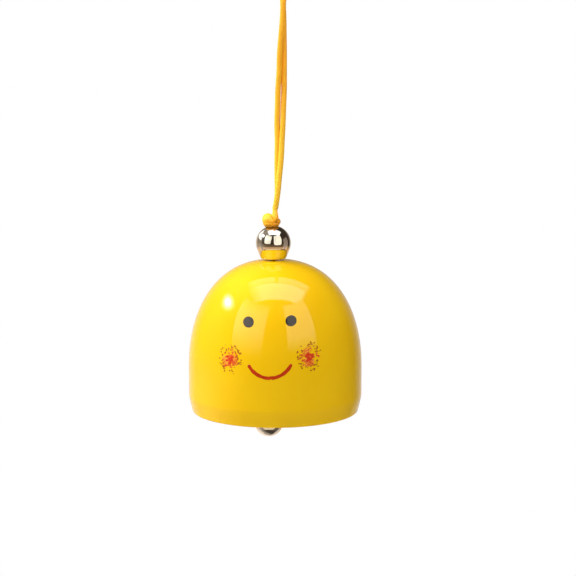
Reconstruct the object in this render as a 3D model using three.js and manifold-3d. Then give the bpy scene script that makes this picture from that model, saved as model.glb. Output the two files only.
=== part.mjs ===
// Iron wind chime: a pressed iron bell under a steel bead, hung on a doubled cord, with a ball clapper.
// Millimetres, +Z up. The origin is the inside of the hanging loop's top, where a hook carries it.
import * as THREE from 'three';
import { mergeVertices } from 'three/addons/utils/BufferGeometryUtils.js';
import Module from 'manifold-3d';

const wasm = await Module();
wasm.setup();

// Fits
const touchGap = 0.3;          // between pieces that touch on the real object
const turnGap = 0.2;           // between the cord and the wire that turns in it

// Cord
const cordDiameter = 1.8;      // one strand of the soft braided cord
const pressedPitch = 1.6;      // between strand centres where two strands are pressed side by side
const cordSides = 8;
const loopSteps = 76;

// Bell
const bellRadius = 30;         // outside, at its widest
const bellHeight = 52.8;       // rim to crown
const bellWall = 1.5;
const mouthRadius = 28.75;     // outside, where the side has drawn in again at the mouth
const drawnInHeight = 6.2;     // the side bends inwards this far above the rim
const drawnInBend = 1.5;       // how gently it bends
const shoulderHeight = 15.1;   // the straight side ends and the dome starts
const shoulderPower = 2.34;    // 2 is round, more is squarer
const crownPower = 2.16;
const lipRound = 0.6;          // the mouth's outer edge is rounded
const lipChamfer = 0.2;        // and its inner edge broken
const bellFacets = 56;
const sideSteps = 8;
const domeSteps = 16;
const lipSteps = 4;

// Bead on the crown
const beadRadius = 6;
const beadNarrows = 0.375;     // radians below its middle, where the ball runs out into a cone
const beadConeRadius = 4.8;    // at the cone's lower end
const beadConeDepth = 4.15;    // all three depths are below the ball's centre
const beadFootRadius = 4.3;    // the bead stands on a short foot
const beadFootTop = 4.75;
const beadFootDepth = 5.34;
const beadOffset = -0.6;       // it sits a little to the left of the bell's axis
const beadFacets = 40;
const beadSteps = 14;

// Knots
const topKnotWidth = 7.2;
const topKnotRise = 3.6;       // above the top of the bead
const topKnotDepth = 5.2;
const topKnotSag = 0.5;        // it comes down this far round the top of the bead
const topKnotOffset = -1.5;
const neckLength = 1.2;        // the two strands between the knot and where they bend
const neckGap = 0.7;           // open at the bend, where the knot swings on the strands
const bendHeight = 0.4;        // the bend's centre above the strands' lower ends
const innerKnotWidth = 6.2;
const innerKnotHeight = 4.6;
const innerKnotDepth = 5.4;
const innerKnotOffset = -1.2;
const clapperKnotWidth = 5.6;
const clapperKnotHeight = 4.6;
const clapperKnotDepth = 5.0;
const tailLength = 2.4;        // cut ends that stand out of the clapper's knot
const tailSpread = 1.6;        // sideways, from the knot's middle
const tailDroop = 0.9;
const knotStrand = 1.5;        // a strand's diameter where the knot squeezes it
const ringShare = 0.66;        // of a knot's reach that is the ring its strands weave round
const openTurn = 0.35;         // radians of the ring left open where the strands come in and go out
const knotSteps = 60;
const knotSectors = 32;
const knotRings = 18;

// Clapper
const clapperDrop = 4.55;      // the ball's centre below the rim
const clapperOffset = -2.2;    // it hangs to the left of the bell's axis
const ballRadius = 5;
const ballFacets = 32;
const eyeRadius = 2.1;         // centre line of the wire ring
const eyeWire = 1.0;
const shankDepth = 3.0;        // of the eye's shank in the ball
const bightLeg = 2.4;          // straight legs of the cord above the eye
const bightSteps = 16;
const wireFacets = 10;

// The hanging loop's centre line, from the strand in front at the knot, over the hook, to the other one.
// The strands make half a turn round each other, and part again under the hook.
const loopRoute = [
  [-2.9, -1.0, -96.0], [-2.0, -1.0, -91.0], [-1.4, -0.9, -85.0], [-0.8, -0.7, -79.0],
  [-0.5, -0.5, -73.0], [-0.2, -0.3, -67.0], [0.0, 0.0, -61.0], [0.2, 0.3, -55.0],
  [0.2, 0.5, -49.0], [0.2, 0.7, -43.0], [0.1, 0.9, -37.0], [0.0, 1.0, -31.0],
  [-0.3, 1.0, -25.0], [-0.7, 0.8, -19.0], [-1.4, 0.6, -14.0], [-2.5, 0.3, -9.5],
  [-3.6, 0.0, -5.5], [-4.0, 0.0, -3.0], [-2.8, 0.0, -0.3], [0.0, 0.0, 0.9],
  [2.8, 0.0, -0.3], [4.0, 0.0, -3.0], [3.6, 0.0, -5.5], [2.5, -0.3, -9.5],
  [1.4, -0.6, -14.0], [0.7, -0.8, -19.0], [0.1, -1.0, -25.0], [-0.2, -1.0, -31.0],
  [-0.7, -0.9, -37.0], [-1.2, -0.7, -43.0], [-1.4, -0.5, -49.0], [-1.8, -0.3, -55.0],
  [-2.0, 0.0, -61.0], [-2.2, 0.3, -67.0], [-2.1, 0.5, -73.0], [-2.2, 0.7, -79.0],
  [-2.2, 0.9, -85.0], [-2.2, 1.0, -91.0], [-2.9, 1.0, -96.0],
];

// Places along the hanging line, from the loop's lower ends down
const cordRadius = cordDiameter / 2;
const [axisX, , loopEndZ] = loopRoute[0];
const bendZ = loopEndZ + bendHeight;
const neckTopZ = loopEndZ - neckGap;
const topKnotZ = neckTopZ - neckLength;
const beadZ = topKnotZ - topKnotRise - touchGap - beadRadius;
const neckPitch = loopRoute.at(-1)[1] - loopRoute[0][1];
const pairHalfWidth = pressedPitch / 2 + cordRadius;
const beadBore = pairHalfWidth + touchGap;
const beadSeat = Math.sqrt(beadRadius ** 2 - beadBore ** 2);
const crownZ = beadZ - beadFootDepth - touchGap;
const crownHole = Math.hypot(beadOffset, pressedPitch / 2) + cordRadius + touchGap;
const rimZ = crownZ - bellHeight;
const innerKnotTop = crownZ - bellWall - touchGap;
const innerKnotBottom = innerKnotTop - innerKnotHeight;
const clapperBendZ = innerKnotBottom - touchGap - cordRadius;
const ballZ = rimZ - clapperDrop;
const eyeZ = ballZ + ballRadius + turnGap + eyeWire / 2 + eyeRadius;
const eyeTopZ = eyeZ + eyeRadius;
const bightRadius = eyeWire / 2 + turnGap * 2 + cordRadius;
const bightTopZ = eyeTopZ + bightLeg;
const clapperKnotBottom = bightTopZ + touchGap;
const clapperKnotTop = clapperKnotBottom + clapperKnotHeight;
const clapperCordEnd = clapperKnotTop + touchGap;

// Finishes
const finish = (color, roughness, metalness) => new THREE.MeshStandardMaterial({ color, roughness, metalness });
const enamel = finish('#f2c318', 0.12, 0);
const chrome = finish('#d9d6d0', 0.06, 1);
const braid = finish('#f3ad1c', 0.6, 0);

// Closed geometry to a solid for joining and cutting, and back
function solidOf(geometry) {
  const bare = geometry.clone();
  bare.deleteAttribute('normal');
  bare.deleteAttribute('uv');
  const welded = mergeVertices(bare, 1e-4);
  const vertProperties = Float32Array.from(welded.attributes.position.array);
  const triVerts = Uint32Array.from(welded.index.array);
  return new wasm.Manifold(new wasm.Mesh({ numProp: 3, vertProperties, triVerts }));
}

function geometryOf(solid) {
  const mesh = solid.getMesh();
  const geometry = new THREE.BufferGeometry();
  geometry.setAttribute('position', new THREE.BufferAttribute(mesh.vertProperties, 3));
  geometry.setIndex(new THREE.BufferAttribute(mesh.triVerts, 1));
  return geometry;
}

// Turned about Z from a profile of [radius, height] points
function turned(profile, facets) {
  const points = profile.map(([radius, height]) => new THREE.Vector2(radius, height));
  return new THREE.LatheGeometry(points, facets).rotateX(Math.PI / 2);
}

function disc(radius, sides) {
  const corners = Array.from({ length: sides }, (_, i) => {
    const angle = (2 * Math.PI * i) / sides;
    return new THREE.Vector2(radius * Math.cos(angle), radius * Math.sin(angle));
  });
  return new THREE.Shape(corners);
}

// A round cord along points
function strand(points, steps) {
  const places = points.map((point) => new THREE.Vector3(...point));
  const extrudePath = new THREE.CatmullRomCurve3(places, false, 'centripetal');
  return new THREE.ExtrudeGeometry(disc(cordRadius, cordSides), { extrudePath, steps });
}

// How far a line has left its first direction, a length past the start of a gentle bend
function bendRise(length) {
  return Math.hypot(length, drawnInBend) - drawnInBend;
}

// Bell: one side of the shell, set in from the outside by a wall
function bellSide(inset) {
  const radius = bellRadius - inset;
  const mouth = mouthRadius - inset;
  const rise = bellHeight - inset - shoulderHeight;
  const holeTurn = Math.acos((crownHole / radius) ** (shoulderPower / 2));
  const side = [];
  for (let i = 0; i <= sideSteps; i += 1) {
    const height = lipRound + ((drawnInHeight - lipRound) * i) / sideSteps;
    const share = bendRise(drawnInHeight - height) / bendRise(drawnInHeight);
    side.push([radius - (radius - mouth) * share, height]);
  }
  for (let i = 0; i <= domeSteps; i += 1) {
    const turn = (holeTurn * i) / domeSteps;
    const across = Math.cos(turn) ** (2 / shoulderPower);
    const up = Math.sin(turn) ** (2 / crownPower);
    side.push([radius * across, shoulderHeight + rise * up]);
  }
  return side;
}

function bellDome() {
  const outside = bellSide(0);
  const inside = bellSide(bellWall).reverse();
  const [lipRadius] = outside[0];
  const lip = [
    [lipRadius - bellWall, lipChamfer],
    [lipRadius - lipRound, 0],
  ];
  for (let i = 1; i < lipSteps; i += 1) {
    const turn = (Math.PI / 2) * (i / lipSteps);
    lip.push([lipRadius - lipRound * (1 - Math.sin(turn)), lipRound * (1 - Math.cos(turn))]);
  }
  const profile = [...outside, ...inside, ...lip];
  profile.push(profile[0]);
  return turned(profile, bellFacets);
}

// Bead: a ball that runs out below into a cone and a foot, with a bore for the two pressed strands
function crownBead() {
  const reach = Math.asin(beadSeat / beadRadius);
  const profile = [
    [beadBore, -beadFootDepth],
    [beadFootRadius, -beadFootDepth],
    [beadFootRadius, -beadFootTop],
    [beadConeRadius, -beadConeDepth],
  ];
  for (let i = 0; i <= beadSteps; i += 1) {
    const turn = -beadNarrows + ((reach + beadNarrows) * i) / beadSteps;
    profile.push([beadRadius * Math.cos(turn), beadRadius * Math.sin(turn)]);
  }
  profile.push(profile[0]);
  return turned(profile, beadFacets);
}

// Two strands pressed side by side along Y, as one solid from one height to another
function pressedPair(bottom, top, roundTop) {
  const halves = [-1, 1].map((side) => {
    const rod = new THREE.CylinderGeometry(cordRadius, cordRadius, top - bottom, 2 * cordSides);
    rod.rotateX(Math.PI / 2).translate(0, (side * pressedPitch) / 2, (top + bottom) / 2);
    if (!roundTop) return solidOf(rod);
    const cap = new THREE.SphereGeometry(cordRadius, 2 * cordSides, cordSides);
    cap.rotateX(Math.PI / 2).translate(0, (side * pressedPitch) / 2, top);
    return solidOf(rod).add(solidOf(cap));
  });
  return halves[0].add(halves[1]);
}

// An overhand knot pulled tight: both strands go twice round a ring whose axis is Y, weaving in and out
// of it three times. Width, depth and height are outside sizes, and the knot's middle is at the origin.
function knotRoutes(width, depth, height) {
  const reach = (width - knotStrand) / 2;
  const ring = reach * ringShare;
  const weave = reach - ring;
  const squash = (height - knotStrand) / (width - knotStrand);
  const lift = depth / 2 - knotStrand;
  return [-1, 1].map((side) => Array.from({ length: knotSteps + 1 }, (_, i) => {
    const turn = openTurn + ((4 * Math.PI - 2 * openTurn) * i) / knotSteps;
    const across = ring + weave * Math.cos(1.5 * turn);
    return new THREE.Vector3(
      across * Math.cos(turn),
      lift * Math.sin(1.5 * turn) + (side * knotStrand) / 2,
      across * Math.sin(turn) * squash,
    );
  }));
}

// The knot's skin: from its middle, each direction reaches out to the outermost strand
function knotSkin(width, depth, height) {
  const beads = knotRoutes(width, depth, height).flat();
  const skin = new THREE.SphereGeometry(1, knotSectors, knotRings);
  const places = skin.attributes.position;
  const way = new THREE.Vector3();
  for (let i = 0; i < places.count; i += 1) {
    way.fromBufferAttribute(places, i).normalize();
    let reach = knotStrand / 2;
    for (const bead of beads) {
      const along = way.dot(bead);
      const inside = along ** 2 - bead.lengthSq() + (knotStrand / 2) ** 2;
      if (inside > 0) reach = Math.max(reach, along + Math.sqrt(inside));
    }
    places.setXYZ(i, way.x * reach, way.y * reach, way.z * reach);
  }
  return solidOf(skin);
}

// A straight stub of cord between two points, with flat ends
function stub(from, to, diameter) {
  const start = new THREE.Vector3(...from);
  const along = new THREE.Vector3(...to).sub(start);
  const rod = new THREE.CylinderGeometry(diameter / 2, diameter / 2, along.length(), 2 * cordSides);
  const turn = new THREE.Quaternion().setFromUnitVectors(new THREE.Vector3(0, 1, 0), along.clone().normalize());
  rod.applyQuaternion(turn).translate(...start.addScaledVector(along, 0.5).toArray());
  return solidOf(rod);
}

function ball(radius, facets) {
  return new THREE.SphereGeometry(radius, facets, facets / 2).rotateX(Math.PI / 2);
}

// Top knot: it sits on the bead as a cap and ends upwards in a neck of two strands
function topKnot() {
  const height = topKnotRise + topKnotSag;
  const centre = topKnotZ - height / 2;
  const skin = knotSkin(topKnotWidth, topKnotDepth, height).translate(topKnotOffset, 0, centre);
  const seat = solidOf(ball(beadRadius + touchGap, beadFacets)).translate(beadOffset, 0, beadZ);
  const neck = [-1, 1].map((side) => {
    const y = (side * neckPitch) / 2;
    return stub([topKnotOffset / 2, y, centre], [0, y, neckTopZ], cordDiameter);
  });
  return geometryOf(skin.subtract(seat).add(neck[0]).add(neck[1]));
}

function innerKnot() {
  const skin = knotSkin(innerKnotWidth, innerKnotDepth, innerKnotHeight);
  return geometryOf(skin.translate(innerKnotOffset, 0, (innerKnotTop + innerKnotBottom) / 2));
}

// Clapper knot: the cord's two cut ends stand out of it
function clapperKnot() {
  const skin = knotSkin(clapperKnotWidth, clapperKnotDepth, clapperKnotHeight);
  const tails = [-1, 1].map((side) => {
    const end = [clapperKnotWidth / 2 + tailLength, side * tailSpread, -tailDroop];
    return stub([0, (side * knotStrand) / 2, 0], end, knotStrand);
  });
  const knot = skin.add(tails[0]).add(tails[1]);
  return geometryOf(knot.translate(clapperOffset, 0, (clapperKnotTop + clapperKnotBottom) / 2));
}

// Bight: the cord's U through the eye, round the wire
function clapperBight() {
  const points = [[0, -bightRadius, bightLeg], [0, -bightRadius, bightLeg / 2]];
  for (let i = 0; i <= bightSteps; i += 1) {
    const turn = Math.PI + (Math.PI * i) / bightSteps;
    points.push([0, bightRadius * Math.cos(turn), bightRadius * Math.sin(turn)]);
  }
  points.push([0, bightRadius, bightLeg / 2], [0, bightRadius, bightLeg]);
  return strand(points, bightSteps);
}

// Eye: a ring of wire with a shank that goes down into the ball
function clapperEye() {
  const ring = new THREE.TorusGeometry(eyeRadius, eyeWire / 2, wireFacets, 3 * wireFacets).rotateX(Math.PI / 2);
  const length = eyeWire / 2 + turnGap + shankDepth;
  const shank = new THREE.CylinderGeometry(eyeWire / 2, eyeWire / 2, length, wireFacets).rotateX(Math.PI / 2);
  shank.translate(0, 0, -eyeRadius - length / 2);
  return geometryOf(solidOf(ring).add(solidOf(shank)));
}

// Ball: bored from the top for the shank
function clapperBall() {
  const depth = shankDepth + touchGap;
  const boreRadius = eyeWire / 2 + touchGap;
  const bore = new THREE.CylinderGeometry(boreRadius, boreRadius, 2 * depth, wireFacets);
  bore.rotateX(Math.PI / 2).translate(0, 0, ballRadius);
  return geometryOf(solidOf(ball(ballRadius, ballFacets)).subtract(solidOf(bore)));
}

function piece(name, geometry, material) {
  const mesh = new THREE.Mesh(geometry, material.clone());
  mesh.name = name;
  return mesh;
}

// Assembly: everything below the loop hangs on the bell's axis
const group = new THREE.Group();
group.add(piece('hanging_cord', strand(loopRoute, loopSteps), braid));

const line = new THREE.Group();
line.position.x = axisX;
group.add(line);
line.add(piece('top_knot', topKnot(), braid));

const bead = piece('crown_bead', crownBead(), chrome);
bead.position.set(beadOffset, 0, beadZ);
line.add(bead);

const threadTop = beadZ + Math.sqrt(beadRadius ** 2 - pairHalfWidth ** 2) - turnGap;
const threadPair = pressedPair(innerKnotTop + touchGap, threadTop, false);
const thread = piece('threaded_cord', geometryOf(threadPair), braid);
thread.position.x = beadOffset;
line.add(thread);

const bell = piece('bell_dome', bellDome(), enamel);
bell.position.z = rimZ;
line.add(bell);
line.add(piece('inner_knot', innerKnot(), braid));

const clapperPair = pressedPair(clapperCordEnd, clapperBendZ, true);
const clapperCord = piece('clapper_cord', geometryOf(clapperPair), braid);
clapperCord.position.x = clapperOffset;
line.add(clapperCord);
line.add(piece('clapper_knot', clapperKnot(), braid));

const bight = piece('clapper_bight', clapperBight(), braid);
bight.position.set(clapperOffset, 0, eyeTopZ);
line.add(bight);

const eye = piece('clapper_eye', clapperEye(), chrome);
eye.position.set(clapperOffset, 0, eyeZ);
line.add(eye);

const clapper = piece('clapper_ball', clapperBall(), chrome);
clapper.position.set(clapperOffset, 0, ballZ);
line.add(clapper);

const heights = { bendZ, beadZ, crownZ, rimZ, clapperBendZ, eyeTopZ, ballZ };
for (const [name, height] of Object.entries(heights)) {
  console.log(name, height.toFixed(3));
}

export default group;
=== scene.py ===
# %% [markdown]
# Iron wind chime.
# A small pressed iron bell with a painted face hangs on a doubled cord, under a chrome bead, and a chrome
# ball swings inside it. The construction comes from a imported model, which gives each piece's place. This
# script gives each piece its fine surface and finish, and then sets up a plain studio and the camera.

# %% The frame
import math

import bmesh
import bpy
import numpy as np
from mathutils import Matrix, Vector


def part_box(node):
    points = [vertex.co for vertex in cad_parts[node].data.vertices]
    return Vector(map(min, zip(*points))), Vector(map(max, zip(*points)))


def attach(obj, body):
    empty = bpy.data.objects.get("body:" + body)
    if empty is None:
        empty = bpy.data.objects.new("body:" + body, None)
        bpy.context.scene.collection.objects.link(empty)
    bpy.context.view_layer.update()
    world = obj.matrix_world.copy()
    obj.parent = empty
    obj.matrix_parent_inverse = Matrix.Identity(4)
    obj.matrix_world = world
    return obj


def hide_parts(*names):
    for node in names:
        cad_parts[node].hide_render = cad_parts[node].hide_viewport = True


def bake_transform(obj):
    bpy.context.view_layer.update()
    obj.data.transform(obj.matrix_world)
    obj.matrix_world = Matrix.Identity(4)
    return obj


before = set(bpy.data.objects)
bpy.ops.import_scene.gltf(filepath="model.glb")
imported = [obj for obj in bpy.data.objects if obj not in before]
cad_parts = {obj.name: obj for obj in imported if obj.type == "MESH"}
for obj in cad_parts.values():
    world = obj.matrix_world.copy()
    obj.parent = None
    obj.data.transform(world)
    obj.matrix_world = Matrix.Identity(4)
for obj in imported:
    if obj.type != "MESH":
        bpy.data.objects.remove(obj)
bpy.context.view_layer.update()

# %% [markdown]
# Sizes are easier to think about in millimetres, and Blender works in metres, so every shape is worked out
# in millimetres and scaled once, when its mesh is made. The places of the pieces are read from the model's
# boxes, so the bell, bead and ball stay where they are carried.

# %% Places of the pieces
MM = 0.001


def box(node):
    """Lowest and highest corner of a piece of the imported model, in millimetres."""
    low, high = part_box(node)
    return np.array(low) / MM, np.array(high) / MM


bell_low, bell_high = box("bell_dome")
axis_x = (bell_low[0] + bell_high[0]) / 2
rim_z, crown_z = bell_low[2], bell_high[2]
bell_radius = (bell_high[0] - bell_low[0]) / 2
bell_height = crown_z - rim_z

bead_low, bead_high = box("crown_bead")
bead_centre = (bead_low + bead_high) / 2
bead_radius = (bead_high[0] - bead_low[0]) / 2

ball_low, ball_high = box("clapper_ball")
ball_centre = (ball_low + ball_high) / 2
ball_radius = (ball_high[0] - ball_low[0]) / 2

print(f"bell {2 * bell_radius:.1f} wide, {bell_height:.1f} high")
print(f"bell's axis at x {axis_x:.2f}, its rim at z {rim_z:.2f}")
print(f"bead {2 * bead_radius:.1f} wide, ball {2 * ball_radius:.1f} wide")

# %% [markdown]
# The camera looks a little down on the bell, from 0.6 m away, as a short telephoto lens on a product table
# does. It stands slightly to the right of the painted face, so the face looks past it, and its aim is a few
# millimetres to the right of the bell's axis, so the bell stands left of the picture's middle.

# %% Camera
camera_distance = 600.0
camera_turn = math.radians(3.7)
camera_rise = math.radians(8.7)
view_width = 198.87            # what the picture's width shows at the bell
view_height_above_rim = 42.78
view_side_step = 4.44

towards_camera = Vector((
    math.sin(camera_turn) * math.cos(camera_rise),
    -math.cos(camera_turn) * math.cos(camera_rise),
    math.sin(camera_rise),
))
picture_right = Vector((math.cos(camera_turn), math.sin(camera_turn), 0))
view_centre = Vector((axis_x, 0, rim_z + view_height_above_rim))

camera_data = bpy.data.cameras.new("camera")
camera_data.sensor_width = 36
camera_data.lens = 36 * camera_distance / view_width
camera = bpy.data.objects.new("camera", camera_data)
camera.location = (view_centre + towards_camera * camera_distance) * MM
aim = (view_centre + picture_right * view_side_step) * MM
camera.rotation_mode = "QUATERNION"
camera.rotation_quaternion = (aim - camera.location).to_track_quat("-Z", "Y")
bpy.context.scene.collection.objects.link(camera)
bpy.context.scene.camera = camera
print(f"lens {camera_data.lens:.1f} mm")

# %% [markdown]
# Nearly every piece here is a grid of points: rows run along a path or up a profile, columns run around.
# One function turns such grids into a mesh. Points that coincide, at a pole or a closed end, are merged,
# so the skin is closed. A second small function gives the piece its finish and its body.

# %% Grids to meshes


def grid_faces(rows, columns, round_rows, round_columns):
    """Corner numbers of the four-sided faces between neighbouring grid points, wrapping where asked."""
    i = np.arange(rows if round_rows else rows - 1)
    j = np.arange(columns if round_columns else columns - 1)
    i, j = (a.ravel() for a in np.meshgrid(i, j, indexing="ij"))
    next_i, next_j = (i + 1) % rows, (j + 1) % columns
    ring = [(i, j), (i, next_j), (next_i, next_j), (next_i, j)]
    return np.stack([row * columns + column for row, column in ring], 1), i, j


def surface(name, grids, round_rows=False, round_columns=True, uvs=None, values=None):
    """One mesh from grids of points in millimetres, each of shape (rows, columns, 3).
    uvs gives each grid the size in millimetres of its rows and columns when laid flat, values gives each
    grid a number per point, kept as the attribute "height"."""
    points, faces, flat, numbers, start = [], [], [], [], 0
    for k, grid in enumerate(grids):
        rows, columns = grid.shape[:2]
        corners, i, j = grid_faces(rows, columns, round_rows, round_columns)
        points.append(grid.reshape(-1, 3))
        faces.append(corners + start)
        start += rows * columns
        if uvs:
            along, across = uvs[k]
            row_step, column_step = along / rows, across / columns
            steps = [(i, j), (i, j + 1), (i + 1, j + 1), (i + 1, j)]
            flat.append(np.stack([np.stack([b * column_step, a * row_step], 1) for a, b in steps], 1))
        if values:
            numbers.append(values[k].ravel())
    mesh = bpy.data.meshes.new(name)
    mesh.from_pydata(np.concatenate(points) * MM, [], np.concatenate(faces), shade_flat=False)
    if uvs:
        layer = mesh.uv_layers.new(name="flat")
        layer.data.foreach_set("uv", np.concatenate(flat).astype(np.float32).ravel())
    if values:
        attribute = mesh.attributes.new("height", "FLOAT", "POINT")
        attribute.data.foreach_set("value", np.concatenate(numbers).astype(np.float32))
    merged = bmesh.new()
    merged.from_mesh(mesh)
    bmesh.ops.remove_doubles(merged, verts=merged.verts, dist=1e-6)
    merged.to_mesh(mesh)
    merged.free()
    piece = bpy.data.objects.new(name, mesh)
    bpy.context.scene.collection.objects.link(piece)
    print(f"{name}: {len(mesh.polygons)} faces")
    return piece


def fit(piece, body, material, stands_for=()):
    """Gives a piece its finish, the body that it moves with and the model's pieces that it stands for,
    which it hides. A piece with no body here is given none."""
    piece.data.materials.append(material)
    if body:
        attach(piece, body)
    if stands_for:
        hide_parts(*stands_for)


# %% [markdown]
# The cord is a soft braided nylon one, 1.8 mm thick, doubled into a hanging loop. The loop's route is a
# short list of chosen points, and a smooth curve is drawn through them: the same kind of curve, with the
# same points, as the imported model's loop, so the two lie in one place. The two strands make half a turn
# round each other, part under the hook, and end side by side at the knot.

# %% Cord route
cord_diameter = 1.8

loop_route = np.array([
    [-2.9, -1.0, -96.0], [-2.0, -1.0, -91.0], [-1.4, -0.9, -85.0], [-0.8, -0.7, -79.0],
    [-0.5, -0.5, -73.0], [-0.2, -0.3, -67.0], [0.0, 0.0, -61.0], [0.2, 0.3, -55.0],
    [0.2, 0.5, -49.0], [0.2, 0.7, -43.0], [0.1, 0.9, -37.0], [0.0, 1.0, -31.0],
    [-0.3, 1.0, -25.0], [-0.7, 0.8, -19.0], [-1.4, 0.6, -14.0], [-2.5, 0.3, -9.5],
    [-3.6, 0.0, -5.5], [-4.0, 0.0, -3.0], [-2.8, 0.0, -0.3], [0.0, 0.0, 0.9],
    [2.8, 0.0, -0.3], [4.0, 0.0, -3.0], [3.6, 0.0, -5.5], [2.5, -0.3, -9.5],
    [1.4, -0.6, -14.0], [0.7, -0.8, -19.0], [0.1, -1.0, -25.0], [-0.2, -1.0, -31.0],
    [-0.7, -0.9, -37.0], [-1.2, -0.7, -43.0], [-1.4, -0.5, -49.0], [-1.8, -0.3, -55.0],
    [-2.0, 0.0, -61.0], [-2.2, 0.3, -67.0], [-2.1, 0.5, -73.0], [-2.2, 0.7, -79.0],
    [-2.2, 0.9, -85.0], [-2.2, 1.0, -91.0], [-2.9, 1.0, -96.0],
])


def smooth_path(points, step):
    """Points a step apart on the centripetal Catmull-Rom curve through the given points. Each stretch is a
    cubic whose end slopes come from its two neighbours, weighted by the square roots of the distances.
    Columns after the third are numbers that go along with the points."""
    p = np.asarray(points, float)
    p = np.vstack([2 * p[0] - p[1], p, 2 * p[-1] - p[-2]])
    gap = np.sqrt(np.linalg.norm(np.diff(p[:, :3], axis=0), axis=1))[:, None]
    before, here, there, after = p[:-3], p[1:-2], p[2:-1], p[3:]
    g0, g1, g2 = gap[:-2], gap[1:-1], gap[2:]
    leave = ((here - before) / g0 - (there - before) / (g0 + g1) + (there - here) / g1) * g1
    arrive = ((there - here) / g1 - (after - here) / (g1 + g2) + (after - there) / g2) * g1
    s = np.linspace(0, 1, 60, endpoint=False)[None, :, None]
    curve = (
        here[:, None] * (2 * s**3 - 3 * s**2 + 1) + there[:, None] * (3 * s**2 - 2 * s**3)
        + leave[:, None] * (s**3 - 2 * s**2 + s) + arrive[:, None] * (s**3 - s**2)
    ).reshape(-1, p.shape[1])
    curve = np.vstack([curve, p[-2]])
    length = np.append(0, np.cumsum(np.linalg.norm(np.diff(curve[:, :3], axis=0), axis=1)))
    stations = np.linspace(0, length[-1], max(2, round(length[-1] / step)) + 1)
    return np.stack([np.interp(stations, length, column) for column in curve.T], 1), stations


loop_stations = smooth_path(loop_route, 0.15)[1]
print(f"hanging loop: {loop_stations[-1]:.1f} mm of cord")

# %% [markdown]
# A braid could be a bump in the material, but its ribs show on the cord's outline, so they are modelled.
# Yarns run both ways round the cord in crossing spirals. Going round the cord, the crossings lie in
# columns, and from column to column the other yarn is on top. The surface takes the higher of the two.

# %% Braided strand
braid_columns = 6              # crossings round the cord
braid_pitch = 1.1              # mm along the cord from one yarn to the next
braid_relief = 0.07            # of the radius, from the bottom of a groove to the top of a yarn


def braid(turn, along):
    """Height from 0 to 1 of a braid. One family of yarns follows turn plus along, the other turn minus
    along. A yarn is a half-round ridge, lowered where the other family passes over it."""
    climb = 2 * np.pi * along / braid_pitch
    first = braid_columns * turn + climb
    second = braid_columns * turn - climb
    first_over = 0.5 + 0.5 * np.cos(braid_columns * turn)
    ridge = np.abs(np.cos(first / 2)) ** 0.7 * (0.35 + 0.65 * first_over)
    other = np.abs(np.cos(second / 2)) ** 0.7 * (1.0 - 0.65 * first_over)
    return np.maximum(ridge, other)


def carried_frames(path):
    """Two directions square to the path at every point, carried along it with no needless twist."""
    along = np.gradient(path, axis=0)
    along /= np.linalg.norm(along, axis=1, keepdims=True)
    side = np.empty_like(path)
    carried = np.array([0.0, 1.0, 0.0])
    if abs(along[0] @ carried) > 0.9:
        carried = np.array([1.0, 0.0, 0.0])
    for k, direction in enumerate(along):
        carried = carried - (carried @ direction) * direction
        carried /= np.linalg.norm(carried)
        side[k] = carried
    return side, np.cross(along, side)


def strand(points, diameter, step=0.15, sides=40):
    """A braided strand along points: its grid, its flat size and the braid's height at each grid point.
    The radius falls to nothing over the last half diameter at both ends, so each end is a round dome. Where
    the points have a fourth column, it is the diameter there."""
    path, stations = smooth_path(points, step)
    if path.shape[1] == 4:
        diameter = path[:, 3]
    path = path[:, :3]
    side, other = carried_frames(path)
    turn = np.linspace(0, 2 * np.pi, sides, endpoint=False)
    relief = braid(turn[None, :], stations[:, None])
    radius = diameter / 2 + 0 * stations
    to_end = np.minimum(stations, stations[-1] - stations) / radius
    dome = np.sqrt(1 - (1 - np.clip(to_end, 0, 1)) ** 2)
    reach = (radius * dome)[:, None] * (1 - braid_relief * (1 - relief))
    ring = np.cos(turn)[None, :, None] * side[:, None] + np.sin(turn)[None, :, None] * other[:, None]
    grid = path[:, None] + reach[..., None] * ring
    return grid, (stations[-1], 2 * np.pi * radius.mean()), relief


def strands(name, routes, diameter, **detail):
    """One piece of several braided strands."""
    grids, sizes, reliefs = zip(*(strand(route, diameter, **detail) for route in routes))
    return surface(name, grids, uvs=sizes, values=reliefs)


# %% [markdown]
# Colours are written as sRGB hex values, as a colour picker shows them, and one function turns them to
# the linear numbers that Blender's shaders take. A second one adds a node with its settings and links.

# %% Small helpers for materials


def colour(code):
    """Linear red, green, blue and alpha of an sRGB hex colour: the sRGB curve taken backwards."""
    parts = [int(code[k:k + 2], 16) / 255 for k in (1, 3, 5)]
    return (*[c / 12.92 if c <= 0.04045 else ((c + 0.055) / 1.055) ** 2.4 for c in parts], 1.0)


def add(tree, kind, sockets=None, **settings):
    """Adds one node. settings are its own options. sockets maps an input's name or number to a value, or
    to the output that feeds it."""
    made = tree.nodes.new(kind)
    for key, value in settings.items():
        setattr(made, key, value)
    for key, value in (sockets or {}).items():
        if isinstance(value, bpy.types.NodeSocket):
            tree.links.new(value, made.inputs[key])
        else:
            made.inputs[key].default_value = value
    return made


def empty_tree(owner):
    """The node tree of a material or a world, with nothing in it yet."""
    owner.use_nodes = True
    owner.node_tree.nodes.clear()
    return owner.node_tree


def new_material(name, sockets):
    """A material with one Principled shader, its constant values set on the shader's own sockets."""
    material = bpy.data.materials.new(name)
    tree = empty_tree(material)
    shader = add(tree, "ShaderNodeBsdfPrincipled", sockets)
    add(tree, "ShaderNodeOutputMaterial", {"Surface": shader.outputs["BSDF"]})
    print(f"material {name}")
    return material, tree, shader


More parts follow.
